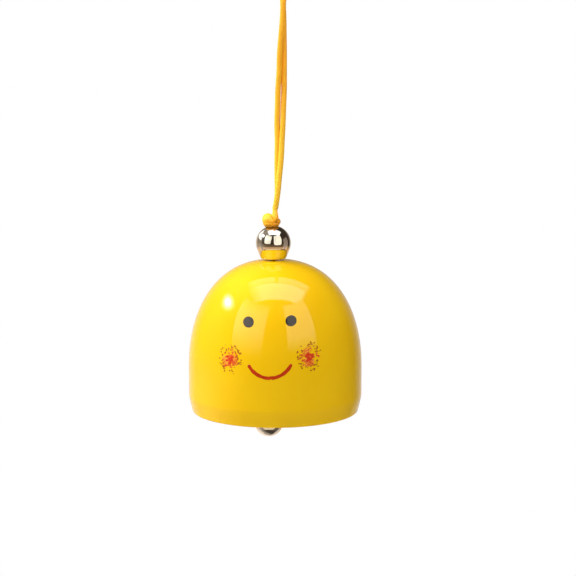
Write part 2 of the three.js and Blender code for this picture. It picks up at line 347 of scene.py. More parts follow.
def ramp(node, *stops):
    """Sets a colour ramp's stops, each a position and a hex colour."""
    elements = node.color_ramp.elements
    while len(elements) > len(stops):
        elements.remove(elements[-1])
    while len(elements) < len(stops):
        elements.new(1.0)
    for element, (position, code) in zip(elements, stops):
        element.position = position
        element.color = colour(code)


# %% [markdown]
# Braided nylon cord. Its filaments are smooth and lie side by side, so it has a soft silky sheen and no
# sharp highlight. Its colour carries painted light: it is paler on a yarn's crest, a painted highlight
# where a yarn catches the light, and deep orange in the grooves, painted shade where light goes from yarn
# to yarn. The braid's height, stored when the strand was made, drives both. Further up, the cord is
# orange and low down it is lemon yellow. The knot's right side and its foot are painted a deeper orange,
# as painted shade. The filaments are far finer than a pixel, so they are drawn 0.2 mm apart, as fine
# lines along the yarns.

# %% Braided nylon
nylon, tree, shader = new_material("braided_nylon_satin", {
    "Roughness": 0.5,
    "IOR": 1.53,
    "Sheen Weight": 0.15,
    "Sheen Roughness": 0.4,
    "Sheen Tint": colour("#FFE28A"),
})
filament_gap = 0.2
dye_patch = 6.0
bands_per_unit = 20 / (2 * np.pi)  # what Blender's wave texture draws at a scale of 1
height = add(tree, "ShaderNodeAttribute", attribute_name="height")
place = add(tree, "ShaderNodeTexCoord")
flat = add(tree, "ShaderNodeUVMap", uv_map="flat")
level = add(tree, "ShaderNodeSeparateXYZ", {"Vector": place.outputs["Object"]})
lemon = add(tree, "ShaderNodeMapRange", {
    "Value": level.outputs["Z"],
    "From Min": -76 * MM,
    "From Max": -52 * MM,
    "To Min": 0.4,
    "To Max": 0.1,
})
# Painted shade: towards the knot's right side and its foot the colour turns a deeper orange.
slant = add(tree, "ShaderNodeVectorMath", {
    0: place.outputs["Object"], 1: (-0.8, 0, 1),
}, operation="DOT_PRODUCT")
painted_shade_foot = add(tree, "ShaderNodeMapRange", {
    "Value": slant.outputs["Value"],
    "From Min": -98.3 * MM,
    "From Max": -94 * MM,
    "To Min": -0.5,
    "To Max": 0.0,
})
dye_and_shade_level = add(tree, "ShaderNodeMath", {
    0: lemon.outputs["Result"], 1: painted_shade_foot.outputs["Result"],
}, operation="ADD")
patches = add(tree, "ShaderNodeTexNoise", {
    "Vector": place.outputs["Object"], "Scale": 1 / (dye_patch * MM), "Detail": 2.0,
})
blend = add(tree, "ShaderNodeMath", {
    0: patches.outputs["Fac"], 1: 0.2, 2: dye_and_shade_level.outputs["Value"],
}, operation="MULTIPLY_ADD")
# Painted highlight and shade: the braid's crests are paler and its grooves a deeper orange.
blend = add(tree, "ShaderNodeMath", {
    0: height.outputs["Fac"], 1: 0.35, 2: blend.outputs["Value"],
}, operation="MULTIPLY_ADD")
# The ramp's colours hold the dye together with the painted shade and highlight.
dye_with_painted_light = add(tree, "ShaderNodeValToRGB", {"Fac": blend.outputs["Value"]})
ramp(dye_with_painted_light, (0.1, "#FA960E"), (0.5, "#FEB418"), (0.95, "#FFD134"))
tree.links.new(dye_with_painted_light.outputs["Color"], shader.inputs["Base Color"])
lines = add(tree, "ShaderNodeTexWave", {
    "Vector": flat.outputs["UV"], "Scale": 1 / (filament_gap * bands_per_unit), "Distortion": 0.6,
}, wave_type="BANDS", bands_direction="DIAGONAL")
filaments = add(tree, "ShaderNodeBump", {
    "Strength": 0.2, "Distance": 0.02 * MM, "Height": lines.outputs["Fac"],
})
tree.links.new(filaments.outputs["Normal"], shader.inputs["Normal"])

# %% [markdown]
# The hanging cord is made with its real length and thickness. Its two ends are round and stand where the
# knot swings, so the swing opens no gap.

# %% Hanging cord
knot_bend_z = -95.6
hanging_route = loop_route.copy()
hanging_route[[0, -1], 2] = knot_bend_z - cord_diameter / 2
yarn_crests = 0.16             # the yarns' crests stand this much outside the nominal diameter
hanging_cord = strands("hanging_cord_braid", [hanging_route], cord_diameter + yarn_crests)
fit(hanging_cord, "hanger", nylon, ["hanging_cord"])

# %% [markdown]
# The knot on the bead is an overhand knot in the doubled cord, pulled tight. Its route is a given list:
# the middle line of the pair, how far each strand lies from it, and how thick a strand is there. The pair
# comes down in front and dives in under a wrap. The wrap goes once round it, low on the right and high on
# the left, where the two strands bulge. Then they leave through the bead. At the neck the strands start
# inside the round ends of the hanging cord, at the place where the knot swings. The bell nods on the knot,
# so here the knot is given no body, and its strands stay in the bead's bore.

# %% Top knot
top_knot_middle = np.array([axis_x - 1.35, 0, -100.0])
top_knot_route = np.array([
    # middle line: right, back, up    half the pair's spread       thickness
    [1.35, 0.00, 5.30, 0.00, 1.00, 0.00, 1.70],
    [1.35, 0.00, 4.40, 0.00, 1.00, 0.00, 1.70],
    [1.38, -0.30, 3.20, -0.05, 0.95, 0.00, 1.75],
    [1.42, -0.90, 2.10, -0.20, 0.80, 0.10, 1.80],
    [1.35, -1.40, 1.10, -0.40, 0.60, 0.20, 1.90],
    [1.10, -1.20, 0.10, -0.40, 0.40, 0.30, 1.90],
    [0.60, 0.00, -0.50, -0.20, 0.35, 0.50, 1.90],
    [0.90, 0.90, -0.70, 0.20, 0.30, 0.50, 2.00],
    [1.75, 0.80, -0.80, 0.25, 0.10, 0.40, 2.20],
    [1.95, -0.20, -0.70, 0.15, 0.00, 0.35, 2.30],
    [1.45, -1.15, -0.80, 0.00, 0.00, 0.35, 2.40],
    [0.30, -1.35, -0.75, 0.00, 0.00, 0.40, 2.90],
    [-0.65, -0.90, -0.25, -0.10, 0.00, 0.45, 3.80],
    [-1.00, 0.00, 0.00, -0.10, 0.00, 0.50, 4.10],
    [-0.60, 0.70, 0.10, 0.00, 0.00, 0.45, 3.60],
    [0.20, 0.95, 0.10, 0.00, 0.05, 0.40, 2.80],
    [0.80, 0.60, -0.20, 0.05, 0.20, 0.35, 2.20],
    [0.85, 0.10, -1.00, 0.05, 0.60, 0.20, 1.80],
    [0.75, 0.00, -1.80, 0.00, 0.75, 0.00, 1.60],
    [0.75, 0.00, -2.80, 0.00, 0.80, 0.00, 1.60],
])
middle = top_knot_route[:, :3] + top_knot_middle
spread, thickness = top_knot_route[:, 3:6], top_knot_route[:, 6:]
top_knot = strands("top_knot_strands", [
    np.hstack([middle - spread, thickness]),
    np.hstack([middle + spread, thickness]),
], 1.8, step=0.12, sides=36)
fit(top_knot, None, nylon, ["top_knot"])
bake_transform(top_knot)

# %% [markdown]
# Under the crown the bell rests on a second overhand knot, and a third one closes the bight that carries
# the clapper. Seen from below they are compact knots, so a formula draws them: both strands go twice round
# a ring, weaving in and out of it three times, which is the trefoil that every overhand knot is.

# %% Inner and clapper knots
ring_share = 0.66              # of a knot's reach that is the ring its strands weave round
open_turn = 0.35               # radians of the ring left open where strands come in and go out
knot_strand = 1.5              # a strand's diameter where the knot squeezes it
pair_pitch = 1.6               # between the middles of two strands that are pressed together


def side_by_side(x, heights):
    """Routes of the two strands pressed together along Y, through the given heights."""
    return [np.array([[x, side * pair_pitch / 2, z] for z in heights]) for side in (-1, 1)]


def knot_routes(low, high, steps=60):
    """The two strands' middle lines of a knot that fills a box: across = ring + weave * cos(1.5 turn),
    laid round the Y axis, while sin(1.5 turn) lifts it front and back."""
    width, depth, tall = high - low
    reach = (width - knot_strand) / 2
    ring, squash = reach * ring_share, (tall - knot_strand) / (width - knot_strand)
    lift = depth / 2 - knot_strand
    turn = np.linspace(open_turn, 4 * np.pi - open_turn, steps)
    across = ring + (reach - ring) * np.cos(1.5 * turn)
    route = np.stack([
        across * np.cos(turn),
        lift * np.sin(1.5 * turn),
        across * np.sin(turn) * squash,
    ], 1)
    return [route + (low + high) / 2 + [0, side * knot_strand / 2, 0] for side in (-1, 1)]


inner_low, inner_high = box("inner_knot")
clapper_cord_low, clapper_cord_high = box("clapper_cord")
line_x = (clapper_cord_low[0] + clapper_cord_high[0]) / 2
clapper_bend_z = clapper_cord_high[2] - cord_diameter / 2
inner_routes = knot_routes(inner_low, inner_high)
inner_middle = (inner_low + inner_high) / 2
leaves_knot_z = inner_low[2] + 0.9
lead_end_z = clapper_bend_z - cord_diameter / 2
leads = [np.vstack([inner_middle, lead]) for lead in side_by_side(line_x, [leaves_knot_z, lead_end_z])]
inner_knot = strands("inner_knot_strands", [*inner_routes, *leads], knot_strand, step=0.2, sides=24)
fit(inner_knot, "stem", nylon, ["inner_knot"])

# %% [markdown]
# The two strands inside the bead and the crown, and the two that run down to the clapper, are short and
# straight, pressed side by side. The bight is the cord's U through the clapper's eye. The cord's two cut
# ends stand out of the clapper's knot.

# %% Short stretches of cord
thread_low, thread_high = box("threaded_cord")
thread_x = (thread_low[0] + thread_high[0]) / 2
threaded = side_by_side(thread_x, np.linspace(thread_high[2], thread_low[2], 4))
threaded_cord = strands("threaded_strands", threaded, cord_diameter, step=0.2, sides=24)
fit(threaded_cord, "stem", nylon, ["threaded_cord"])

clapper_knot_low, clapper_knot_high = box("clapper_knot")
down_to_z = clapper_knot_high[2] - 0.8         # the strands end in the knot
down = side_by_side(line_x, np.linspace(clapper_bend_z + cord_diameter / 2, down_to_z, 6))
clapper_cord = strands("clapper_strands", down, cord_diameter, step=0.2, sides=24)
fit(clapper_cord, "clapper_line", nylon, ["clapper_cord"])

clapper_knot_width = 5.6
clapper_knot_depth = 5.0
clapper_knot_height = clapper_knot_high[2] - clapper_knot_low[2]
clapper_knot_middle = np.array([line_x, 0, (clapper_knot_low[2] + clapper_knot_high[2]) / 2])
half = np.array([clapper_knot_width, clapper_knot_depth, clapper_knot_height]) / 2
clapper_knot_routes = knot_routes(clapper_knot_middle - half, clapper_knot_middle + half)
tail = np.array([[0.5, 0.6, 0.3], [2.2, 1.1, 0.2], [3.6, 1.4, -0.3], [5.1, 1.6, -0.9]])
tails = [clapper_knot_middle + tail * [1, side, 1] for side in (-1, 1)]
clapper_knot = strands(
    "clapper_knot_strands", [*clapper_knot_routes, *tails], knot_strand, step=0.2, sides=24,
)
fit(clapper_knot, "clapper_line", nylon, ["clapper_knot"])

bight_low, bight_high = box("clapper_bight")
bight_radius = (bight_high[1] - bight_low[1] - cord_diameter) / 2
bight_z = bight_low[2] + cord_diameter / 2 + bight_radius
leg_top_z = bight_high[2] + 0.6                # the legs end in the clapper's knot
turns = np.linspace(np.pi, 2 * np.pi, 9)
bight_turn = np.stack([
    line_x + 0 * turns,
    bight_radius * np.cos(turns),
    bight_z + bight_radius * np.sin(turns),
], 1)
bight_route = np.vstack([
    [line_x, -bight_radius, leg_top_z],
    bight_turn,
    [line_x, bight_radius, leg_top_z],
])
clapper_bight = strands("clapper_bight_strand", [bight_route], cord_diameter, step=0.15, sides=32)
fit(clapper_bight, "clapper_line", nylon, ["clapper_bight"])

# %% [markdown]
# The bell is pressed from sheet iron: a short side that draws in slightly at the mouth, and a dome above
# it. The dome's outline is a superellipse, fuller at the shoulder than a circle. Turned round the axis with
# a wall inside it, a rounded lip and the cord's hole in the crown, it is one closed skin.

# %% Bell shell
bell_wall = 1.5
mouth_radius = 28.75
drawn_in_height = 6.2          # the side bends inwards this far above the rim
drawn_in_bend = 1.5
shoulder_height = 15.1
shoulder_power = 2.34
crown_power = 2.16
lip_round = 0.6
crown_hole = 2.2


def bend_rise(length):
    """How far a line has left its first direction, a length past the start of a gentle bend: a hyperbola
    that starts level and soon runs straight."""
    return np.hypot(np.clip(length, 0, None), drawn_in_bend) - drawn_in_bend


def bell_radius_at(height, inset=0.0):
    """Radius of the bell's skin at a height above the rim. Below, the side bends in towards the mouth.
    Above the shoulder, (radius share)^2.34 + (height share)^2.16 = 1."""
    full = bell_radius - inset
    drawn = (bell_radius - mouth_radius) * bend_rise(drawn_in_height - height) / bend_rise(drawn_in_height)
    share = np.clip((height - shoulder_height) / (bell_height - inset - shoulder_height), 0, 1)
    return (full - drawn) * (1 - share**crown_power) ** (1 / shoulder_power)


def bell_side(inset, side_rows, dome_rows):
    """Radius and height from the lip up to the crown hole. Along the dome the rows follow equal angles."""
    heights = np.linspace(lip_round, shoulder_height, side_rows, endpoint=False)
    side = np.stack([bell_radius_at(heights, inset), heights], 1)
    full = bell_radius - inset
    hole_turn = np.arccos((crown_hole / full) ** (shoulder_power / 2))
    turn = np.linspace(0, hole_turn, dome_rows)
    rise = bell_height - inset - shoulder_height
    dome = np.stack([
        full * np.cos(turn) ** (2 / shoulder_power),
        shoulder_height + rise * np.sin(turn) ** (2 / crown_power),
    ], 1)
    return np.concatenate([side, dome])


def lathe(profile, columns, centre):
    """Turns a profile of radius and height round a vertical line through centre."""
    turn = np.linspace(0, 2 * np.pi, columns, endpoint=False)
    radius, up = profile[:, :1], np.broadcast_to(profile[:, 1:], (len(profile), columns))
    return np.stack([radius * np.cos(turn), radius * np.sin(turn), up], 2) + np.asarray(centre)


outside = bell_side(0.0, 48, 130)
inside = bell_side(bell_wall, 18, 60)[::-1]
lip_turn = np.linspace(0, np.pi / 2, 9)[1:-1, None]
lip_out = outside[0, 0]
lip_in = lip_out - bell_wall
lip_edge = lip_out - lip_round
lip = np.concatenate([
    [[lip_in, 0.25], [lip_in + 0.08, 0.07], [lip_edge + 0.08, 0.0]],
    np.hstack([lip_edge + lip_round * np.sin(lip_turn), lip_round * (1 - np.cos(lip_turn))]),
])
bell_profile = np.concatenate([outside, inside, lip])
bell = surface("bell_shell", [lathe(bell_profile, 256, (axis_x, 0, rim_z))], round_rows=True)

# %% [markdown]
# The enamel is a glossy yellow one, dipped or sprayed over the iron and fired or baked. Its surface pulls
# itself smooth, so it mirrors the lamps sharply, and only a very shallow waviness, a few millimetres long,
# shows that it was liquid. It is a hard film, so one sharp gloss and a clear coat over a saturated colour
# give it its depth. Its colour drifts a little over the bell, as every hand-made coat does, and a helper
# draws that drift here and in the paints of the face.

# %% Glossy enamel


def drifting_colour(tree, shader, patch, detail, dark, light):
    """Lets the base colour drift between two tones, over patches of a size in millimetres. Each tone is a
    level of the noise and a hex colour. Returns the piece's own coordinates."""
    place = add(tree, "ShaderNodeTexCoord").outputs["Object"]
    noise = add(tree, "ShaderNodeTexNoise", {"Vector": place, "Scale": 1 / (patch * MM), "Detail": detail})
    tones = add(tree, "ShaderNodeValToRGB", {"Fac": noise.outputs["Fac"]})
    ramp(tones, dark, light)
    tree.links.new(tones.outputs["Color"], shader.inputs["Base Color"])
    return place


enamel, tree, shader = new_material("glossy_yellow_enamel_on_iron", {
    "Roughness": 0.06,
    "IOR": 1.5,
    "Coat Weight": 0.5,
    "Coat Roughness": 0.02,
    "Coat IOR": 1.5,
})
place = drifting_colour(tree, shader, patch=18, detail=1.0, dark=(0.3, "#F0BB0D"), light=(0.7, "#F4C211"))
wave_length = 3.5
wave_height = 0.01
waves = add(tree, "ShaderNodeTexNoise", {"Vector": place, "Scale": 1 / (wave_length * MM), "Detail": 1.0})
flow = add(tree, "ShaderNodeBump", {
    "Strength": 0.15, "Distance": wave_height * MM, "Height": waves.outputs["Fac"],
})
tree.links.new(flow.outputs["Normal"], shader.inputs["Normal"])
fit(bell, "bell", enamel, ["bell_dome"])

# %% [markdown]
# The face is stamped and dabbed on by hand in enamel paint. Each mark is a real film of paint, a few
# hundredths of a millimetre thick, whose middle stands proud of the bell and whose edge dips just under its
# skin. A mark is first laid out flat, in millimetres to the right of the face's middle and up from the rim,
# and then wrapped round the bell.

# %% Marks on the bell


def on_bell(across, height, lift):
    """Wraps flat places round the bell: across is the arc from the face's middle line, height is above the
    rim, and lift is the distance out from the skin, square to it."""
    radius = bell_radius_at(height)
    slope = (bell_radius_at(height + 0.01) - bell_radius_at(height - 0.01)) / 0.02
    tilt = np.arctan(slope)
    angle = across / radius
    out = radius + lift * np.cos(tilt)
    up = height - lift * np.sin(tilt)
    return np.stack([axis_x + out * np.sin(angle), -out * np.cos(angle), rim_z + up], -1)


def dab(across, height, wide, tall, sides, rings, turned=0.0, film=0.04):
    """A flat drop of paint: an ellipse of that width and height, turned by an angle. Its film is level in
    the middle and rounded at the edge. The upper half is the film, the lower half lies in the enamel. Up
    the dome, heights are shortened by the slope, so that the drop keeps its size along the skin."""
    down = np.linspace(0, np.pi, rings)[:, None]
    turn = np.linspace(0, 2 * np.pi, sides, endpoint=False)[None, :]
    reach = np.sin(down) ** 0.6
    x, y = reach * np.cos(turn) * wide / 2, reach * np.sin(turn) * tall / 2
    x, y = x * np.cos(turned) - y * np.sin(turned), x * np.sin(turned) + y * np.cos(turned)
    lift = film * np.sign(np.cos(down)) * np.abs(np.cos(down)) ** 0.6 + 0 * turn
    slope = bell_radius_at(height + 0.5) - bell_radius_at(height - 0.5)
    return on_bell(across + x, height + y * np.cos(np.arctan(slope)), lift)[::-1]


# %% [markdown]
# The eyes are two round drops of black enamel paint, nearly as glossy as the yellow. Their black is a
# little warm and cloudy, because a thin film of paint lets some of its ground through.

# %% Eyes
eye_size = 3.8
eye_places = [(-7.34, 35.18), (7.01, 35.71)]
eyes = surface("face_eyes", [dab(x, h, eye_size, eye_size, sides=64, rings=24) for x, h in eye_places])
eye_paint, tree, shader = new_material("black_enamel_paint", {
    "Roughness": 0.12,
    "IOR": 1.5,
    "Coat Weight": 0.5,
    "Coat Roughness": 0.03,
})
drifting_colour(tree, shader, patch=1.2, detail=3.0, dark=(0.3, "#1C1716"), light=(0.75, "#2E282A"))
fit(eyes, "bell", eye_paint)

# %% [markdown]
# The smile is one brush line along a part of a circle. Its section is a very flat ellipse, carried along
# the line, and its width follows the brush: round at the ends, a little uneven between, with a small nick
# in the middle of its lower edge, where two strokes meet. Two sines along the line make it uneven.

# %% Smile
smile_radius = 8.07
smile_centre_height = 25.24
smile_width = 1.2
smile_half_turn = math.radians(63.5)
smile_tilt = math.radians(1.4)  # its right end is a little higher
smile_film = 0.035

turn = np.linspace(-smile_half_turn, smile_half_turn, 200)
from_end = (smile_half_turn - np.abs(turn)) * smile_radius
round_end = np.sqrt(1 - (1 - np.clip(from_end / (smile_width / 2), 0, 1)) ** 2)
uneven = 1 + 0.07 * np.sin(turn * 9 + 1.0) + 0.05 * np.sin(turn * 23)
half_width = smile_width / 2 * round_end * uneven
nick = 0.42 * np.exp(-((turn * smile_radius - 0.3) / 0.32) ** 2)
section = np.linspace(0, 2 * np.pi, 20, endpoint=False)
outer = half_width * (1 - nick)
edge = np.where(np.cos(section)[None, :] > 0, outer[:, None], half_width[:, None])
radius = smile_radius + edge * np.cos(section)[None, :]
film = smile_film * np.sign(np.sin(section)) * np.abs(np.sin(section)) ** 0.7
smile_grid = on_bell(
    radius * np.sin(turn + smile_tilt)[:, None],
    smile_centre_height - radius * np.cos(turn + smile_tilt)[:, None],
    round_end[:, None] * film[None, :],
)
smile = surface("face_smile", [smile_grid])
smile_paint, tree, shader = new_material("red_enamel_paint", {
    "Roughness": 0.2,
    "IOR": 1.5,
    "Coat Weight": 0.3,
    "Coat Roughness": 0.05,
})
drifting_colour(tree, shader, patch=0.9, detail=2.0, dark=(0.3, "#B02E08"), light=(0.7, "#CB3A12"))
fit(smile, "bell", smile_paint)

# %% [markdown]
# The cheeks are dabbed with a coarse sponge. A thin orange haze lies under blots and broken rings, which
# the sponge's cells leave. They run together in a core, and dry brown specks lie round them. A seeded
# random generator places them, so the result is the same each time. A painted texture could do it too, but
# real dabs stay sharp from close by and are part of the mesh.

# %% Cheeks
cheek_places = [(-14.07, 22.71, 4), (13.4, 23.7, 9)]    # across, up, and the seed
cheek_reach = (4.3, 4.9)       # half width and half height
haze_tone, speck_tone = 0.8, 1.0
haze_film, blot_film, speck_film, ring_film, core_film = 0.012, 0.018, 0.02, 0.024, 0.03
blot_step = 0.42               # between the dabs of one blot
ring_step = 0.45               # between the dabs of one ring


def cheek(across, height, seed):
    """Grids of one cheek's dabs, and each dab's tone: 0 is the core's red, 0.8 the haze, 1 a brown speck.
    A dab's place is a share of the reach out from the middle, in a random direction."""
    draw = np.random.default_rng(seed)
    grids, tones = [], []

    def put(x, y, size, tone, film):
        tall = size * draw.uniform(0.65, 1.0)
        turned = draw.uniform(0, np.pi)
        grids.append(dab(across + x, height + y, size, tall, sides=9, rings=5, turned=turned, film=film))
        tones.append(np.full(grids[-1].shape[:2], tone))

    def spot(inner, outer):
        out, turn = draw.uniform(inner, outer), draw.uniform(0, 2 * np.pi)
        return cheek_reach[0] * out * math.cos(turn), cheek_reach[1] * out * math.sin(turn)

    for _ in range(12):
        put(*spot(0.0, 0.5), draw.uniform(1.1, 2.2), haze_tone, haze_film)
    for _ in range(42):
        x, y = spot(0.05, 0.72)
        string, tone = draw.uniform(0, 2 * np.pi), draw.uniform(0.15, 0.6)
        step_x, step_y = blot_step * math.cos(string), blot_step * math.sin(string)
        for k in range(draw.integers(1, 4)):
            put(x + k * step_x, y + k * step_y, draw.uniform(0.4, 0.8), tone, blot_film)
    for _ in range(6):
        x, y = spot(0.25, 0.6)
        radius, tone = draw.uniform(0.6, 1.05), draw.uniform(0.3, 0.6)
        for turn in np.arange(0, 2 * np.pi, ring_step / radius):
            if draw.random() < 0.75:
                ring_x, ring_y = radius * math.cos(turn), radius * math.sin(turn)
                put(x + ring_x, y + ring_y, draw.uniform(0.35, 0.55), tone, ring_film)
    for _ in range(18):
        put(*spot(0.0, 0.3), draw.uniform(0.8, 1.4), draw.uniform(0.0, 0.2), core_film)
    for _ in range(52):
        x, y = spot(0.62, 1.06)
        for k in range(draw.integers(1, 3)):
            put(x + 0.3 * k, y + draw.uniform(-0.2, 0.2), draw.uniform(0.35, 0.62), speck_tone, speck_film)
    return grids, tones


cheek_grids, cheek_tones = [], []
for across, height, seed in cheek_places:
    grids, tones = cheek(across, height, seed)
    cheek_grids += grids
    cheek_tones += tones
cheeks = surface("face_cheeks", cheek_grids, values=cheek_tones)
cheek_paint, tree, shader = new_material("dabbed_red_enamel_paint", {
    "Roughness": 0.5,
    "IOR": 1.5,
    "Specular IOR Level": 0.2,
})
tone = add(tree, "ShaderNodeAttribute", attribute_name="height")
dabs = add(tree, "ShaderNodeValToRGB", {"Fac": tone.outputs["Fac"]})
ramp(
    dabs,
    (0.0, "#CC2E08"), (0.3, "#D64A1C"), (0.65, "#E07626"),
    (0.8, "#EE9A30"), (0.9, "#EE9A30"), (1.0, "#A85804"),
)
tree.links.new(dabs.outputs["Color"], shader.inputs["Base Color"])
fit(cheeks, "bell", cheek_paint)

# %% [markdown]
# The bead and the clapper ball are steel, polished and plated with nickel and chrome. Polished metal shows
# almost nothing of its own: it is a mirror, and what gives it its form is what stands round it. The plating
# is a little warm, and wiping leaves very fine scratches, which blur the mirror slightly. They are far
# finer than a pixel, so the blur drifts over 0.8 mm instead.

# %% Chrome plate
chrome, tree, shader = new_material("polished_chrome_plate_on_steel", {
    "Base Color": colour("#E9E4DC"),
    "Metallic": 1.0,
})
scratch_gap = 0.8
place = add(tree, "ShaderNodeTexCoord")
wipes = add(tree, "ShaderNodeTexNoise", {
    "Vector": place.outputs["Object"], "Scale": 1 / (scratch_gap * MM), "Detail": 4.0,
})
polish = add(tree, "ShaderNodeMapRange", {"Value": wipes.outputs["Fac"], "To Min": 0.03, "To Max": 0.07})
tree.links.new(polish.outputs["Result"], shader.inputs["Roughness"])

# %% [markdown]
# The bead is a ball with a bore that runs out below into a cone and a narrow foot, on which it stands. It
# is turned from a profile. The cone and the foot are a short list of chosen places, radius and height from
# the ball's middle, whose corners are then cut off twice, so the plating runs over them in one curve.

# %% Bead
bead_bore = 2.0
bead_narrows = -0.375          # radians from its middle, where the ball runs out into a cone
bead_top = math.acos(bead_bore / bead_radius)
bead_z = bead_high[2] - bead_radius * math.sin(bead_top)
bead_foot_z = bead_low[2] - bead_z
bead_foot = np.array([
    [5.36, -2.76], [5.08, -3.5], [4.86, -4.05], [4.65, -4.5], [4.45, -4.9], [4.3, -5.15], [4.12, -5.3],
    [3.8, bead_foot_z],
])


def rounded(profile, times=2):
    """Cuts a profile's corners: each line between two points gives two points, at its quarters."""
    for _ in range(times):
        start, end = profile[:-1], profile[1:]
        quarters = np.stack([0.75 * start + 0.25 * end, 0.25 * start + 0.75 * end], 1).reshape(-1, 2)
        profile = np.concatenate([profile[:1], quarters, profile[-1:]])
    return profile


bead_turn = np.linspace(bead_narrows, bead_top, 110)
bead_ball = bead_radius * np.stack([np.cos(bead_turn), np.sin(bead_turn)], 1)
bead_skirt = rounded(np.concatenate([bead_ball[:2][::-1], bead_foot]))[::-1]
bore_line = [
    [bead_bore, bead_ball[-1, 1] - 0.2],
    [bead_bore, bead_foot_z + 0.2],
    [bead_bore + 0.1, bead_foot_z],
]
bead_profile = np.concatenate([bead_skirt[:-3], bead_ball[1:], bore_line])
bead_grid = lathe(bead_profile, 160, (bead_centre[0], 0, bead_z))
bead = surface("crown_bead_plated", [bead_grid], round_rows=True)
fit(bead, "bead", chrome, ["crown_bead"])

# %% [markdown]
# The clapper ball is bored from the top for the shank of a wire eye. The eye is a ring of wire: a small
# circle carried round a larger one.

# %% Clapper ball and eye
eye_low, eye_high = box("clapper_eye")
wire = 1.0
ring_radius = (eye_high[0] - eye_low[0] - wire) / 2
ring_z = eye_high[2] - wire / 2 - ring_radius
shank_bore = 0.8
bore_depth = 3.3
bore_turn = math.acos(shank_bore / ball_radius)
ball_turn = np.linspace(-np.pi / 2, bore_turn, 110)
ball_profile = ball_radius * np.stack([np.cos(ball_turn), np.sin(ball_turn)], 1)
ball_profile[0, 0] = 0.0
bore_floor = ball_radius - bore_depth
ball_profile = np.concatenate([ball_profile, [[shank_bore, bore_floor], [0.0, bore_floor]]])
ball = surface("clapper_ball_plated", [lathe(ball_profile, 128, ball_centre)])
fit(ball, "clapper", chrome, ["clapper_ball"])

ring_turn = np.linspace(0, 2 * np.pi, 96, endpoint=False)[:, None]
wire_turn = np.linspace(0, 2 * np.pi, 24, endpoint=False)[None, :]
ring_reach = ring_radius + wire / 2 * np.cos(wire_turn)
ring_grid = np.stack([
    line_x + ring_reach * np.cos(ring_turn),
    wire / 2 * np.sin(wire_turn) + 0 * ring_turn,
    ring_z + ring_reach * np.sin(ring_turn),
], 2)
clapper_ring = surface("clapper_eye_ring", [ring_grid], round_rows=True)
fit(clapper_ring, "clapper", chrome, ["clapper_eye"])
shank_foot, shank_top = eye_low[2], ring_z - ring_radius
shank_profile = np.array([
    [0.0, shank_foot], [0.42, shank_foot], [0.5, shank_foot + 0.1],
    [0.5, shank_top - 0.3], [0.62, shank_top], [0.0, shank_top],
])
clapper_shank = surface("clapper_eye_shank", [lathe(shank_profile, 32, (line_x, 0, 0))])
fit(clapper_shank, "clapper", chrome, ["clapper_eye"])

# %% [markdown]
# The studio. Soft lamps give the light: two high in front, as daylight comes through two windows, two
# softboxes on the left, a faint one overhead, and a little light thrown back from below, as a table does.
# The lamps don't show in the gloss, so that what the gloss shows can be laid out on its own, further down.

# %% Studio directions
stage_distance = 1000.0
stage_centre = np.array([axis_x, 0.0, rim_z + 40])     # on the axis, in the upper part of the bell


def direction(azimuth, elevation):
    """Unit vectors by angles in degrees. Azimuth 0 is towards the camera, and positive ones are to the
    picture's right."""
    azimuth, elevation = np.radians(azimuth) + camera_turn, np.radians(elevation)
    flat = np.cos(elevation)
    return np.stack([np.sin(azimuth) * flat, -np.cos(azimuth) * flat, np.sin(elevation)], -1)


# %% Lamps


def lamp(name, azimuth, elevation, width, tall, radiance, distance=stage_distance):
    """A soft rectangular lamp that faces the bell. Its power is its radiance times its area times four."""
    data = bpy.data.lights.new(name, "AREA")
    data.shape = "RECTANGLE"
    data.size, data.size_y = width * MM, tall * MM
    data.energy = radiance * data.size * data.size_y * 4
    made = bpy.data.objects.new(name, data)
    towards = Vector(direction(azimuth, elevation))
    made.location = Vector(stage_centre * MM) + towards * distance * MM
    made.rotation_mode = "QUATERNION"
    made.rotation_quaternion = towards.to_track_quat("Z", "Y")
    made.visible_glossy = False
    made.visible_camera = False
    bpy.context.scene.collection.objects.link(made)
    print(f"{name}: {data.energy:.1f} W")


# name, azimuth, elevation, width and height in mm, radiance
lamp("left_window_light", -44, 50, 850, 800, 2.2)
lamp("right_window_light", 44, 50, 850, 800, 2.6)
lamp("left_softbox", -90, 25, 850, 800, 3.0)
lamp("left_rear_softbox", -118, 27, 1000, 800, 2.6)
lamp("overhead_softbox", 0, 86, 850, 800, 0.5)
lamp("table_bounce", 0, -80, 400, 400, 0.25, distance=270)

# %% [markdown]
# What shows in the gloss are cards: glowing sheets that only gloss can see, placed by the directions in
# which they lie. Two windows stand in front, a ceiling panel in three parts lies above, a dark tent goes
# round everything, and one small hot lamp gives the spark on the left. What one shiny piece shows of
# another's mirror image, such as the bead's in the crown, stays faint, so there the cards are dimmer.

# %% Cards
second_mirror_share = 0.35


